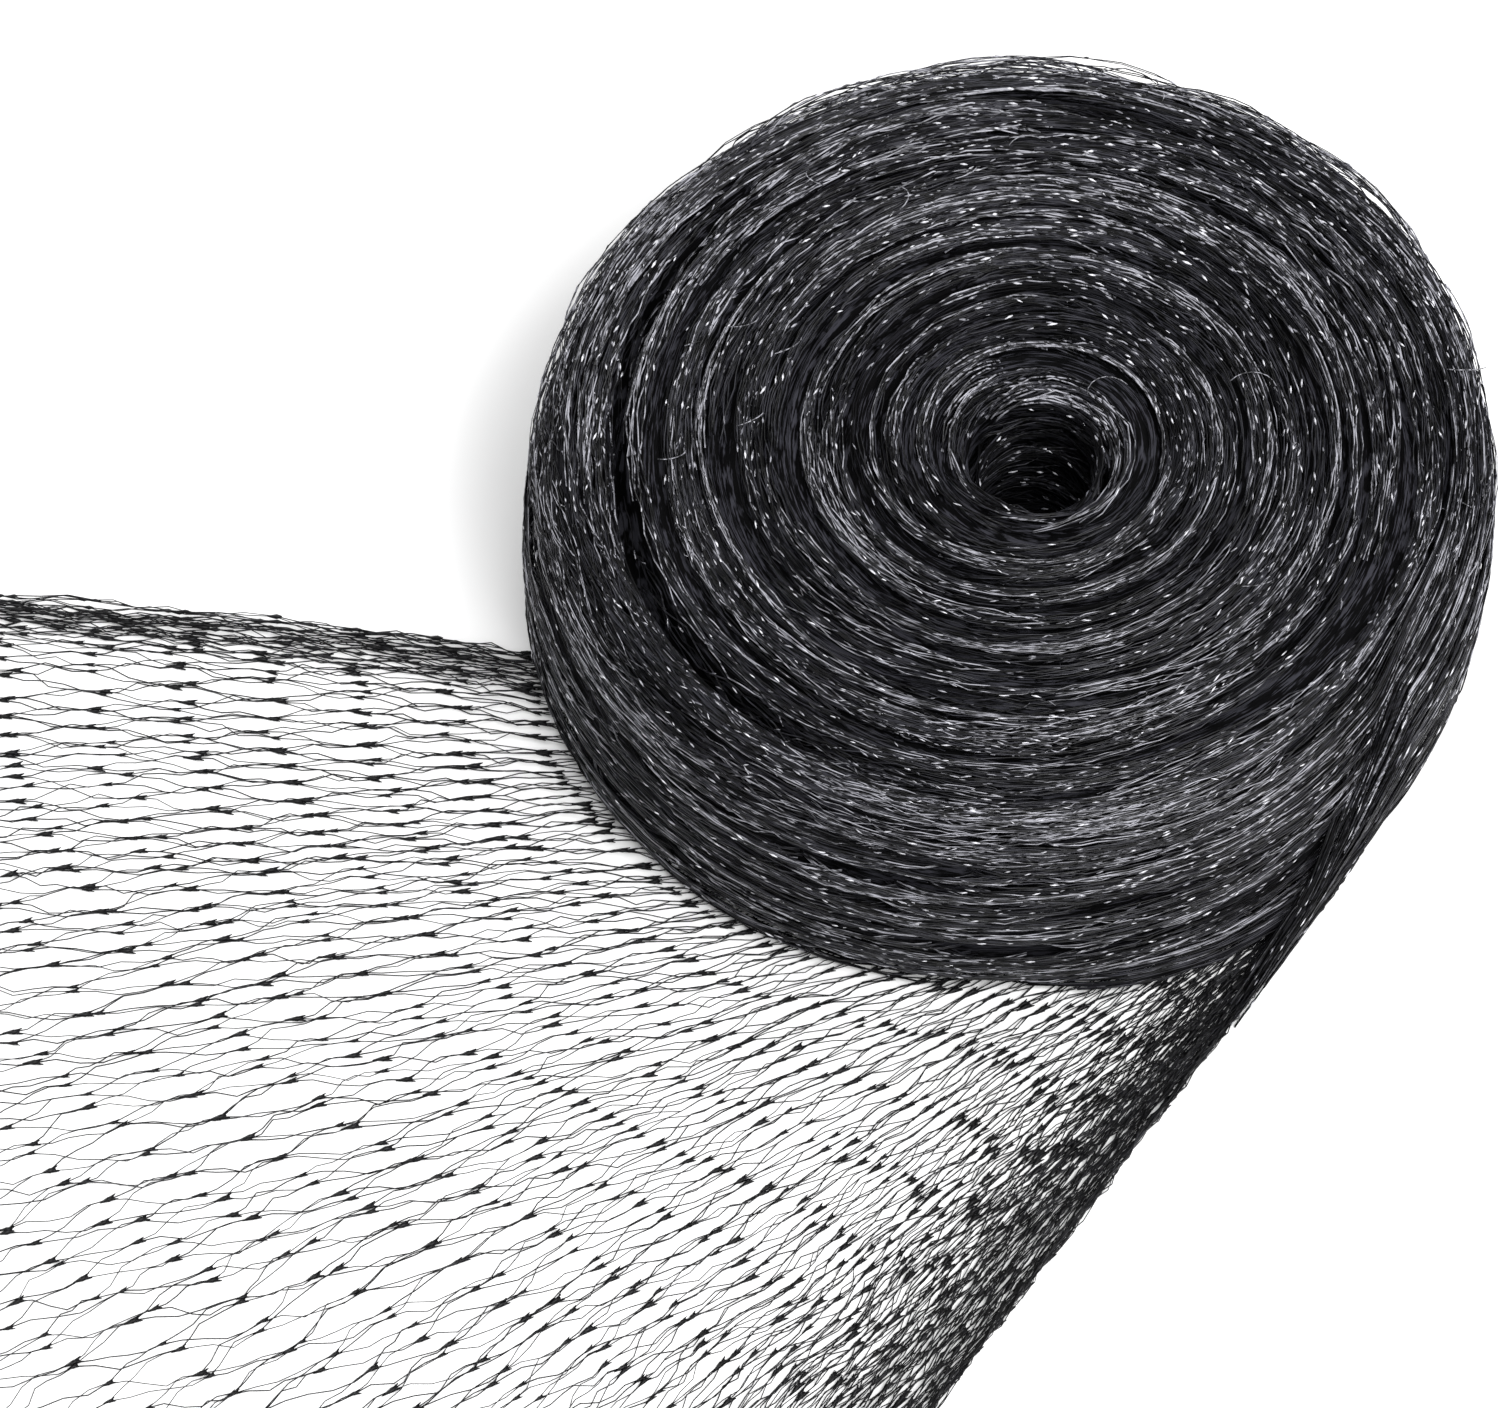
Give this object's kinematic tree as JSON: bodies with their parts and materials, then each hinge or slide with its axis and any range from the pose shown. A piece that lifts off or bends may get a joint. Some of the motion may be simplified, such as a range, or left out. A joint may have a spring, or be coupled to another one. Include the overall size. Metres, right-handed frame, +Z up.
{
  "type": "bird netting roll",
  "caption": "Coreless roll of knotted bird netting standing on its end, with its loose end spread over the floor as a fan of open diamond mesh.",
  "frame": {"origin": "centre of the whole part's outline on the floor, a little in front of and to the left of the roll", "axes": "+Z up along the roll's axis, +X to the right and -Y towards the viewer, with the loose end spread towards -X and -Y"},
  "size_m": [0.3732, 0.4554, 0.0634],
  "materials": {
    "wound_netting": "near-black twisted polyethylene thread, thousands of strands side by side, soft sheen along them",
    "loose_netting": "near-black twisted polyethylene thread in single strands with tight black knots"
  },
  "bodies": {
    "root": {"net_roll": "wound_netting", "loose_net": "loose_netting"}
  },
  "joints": []
}
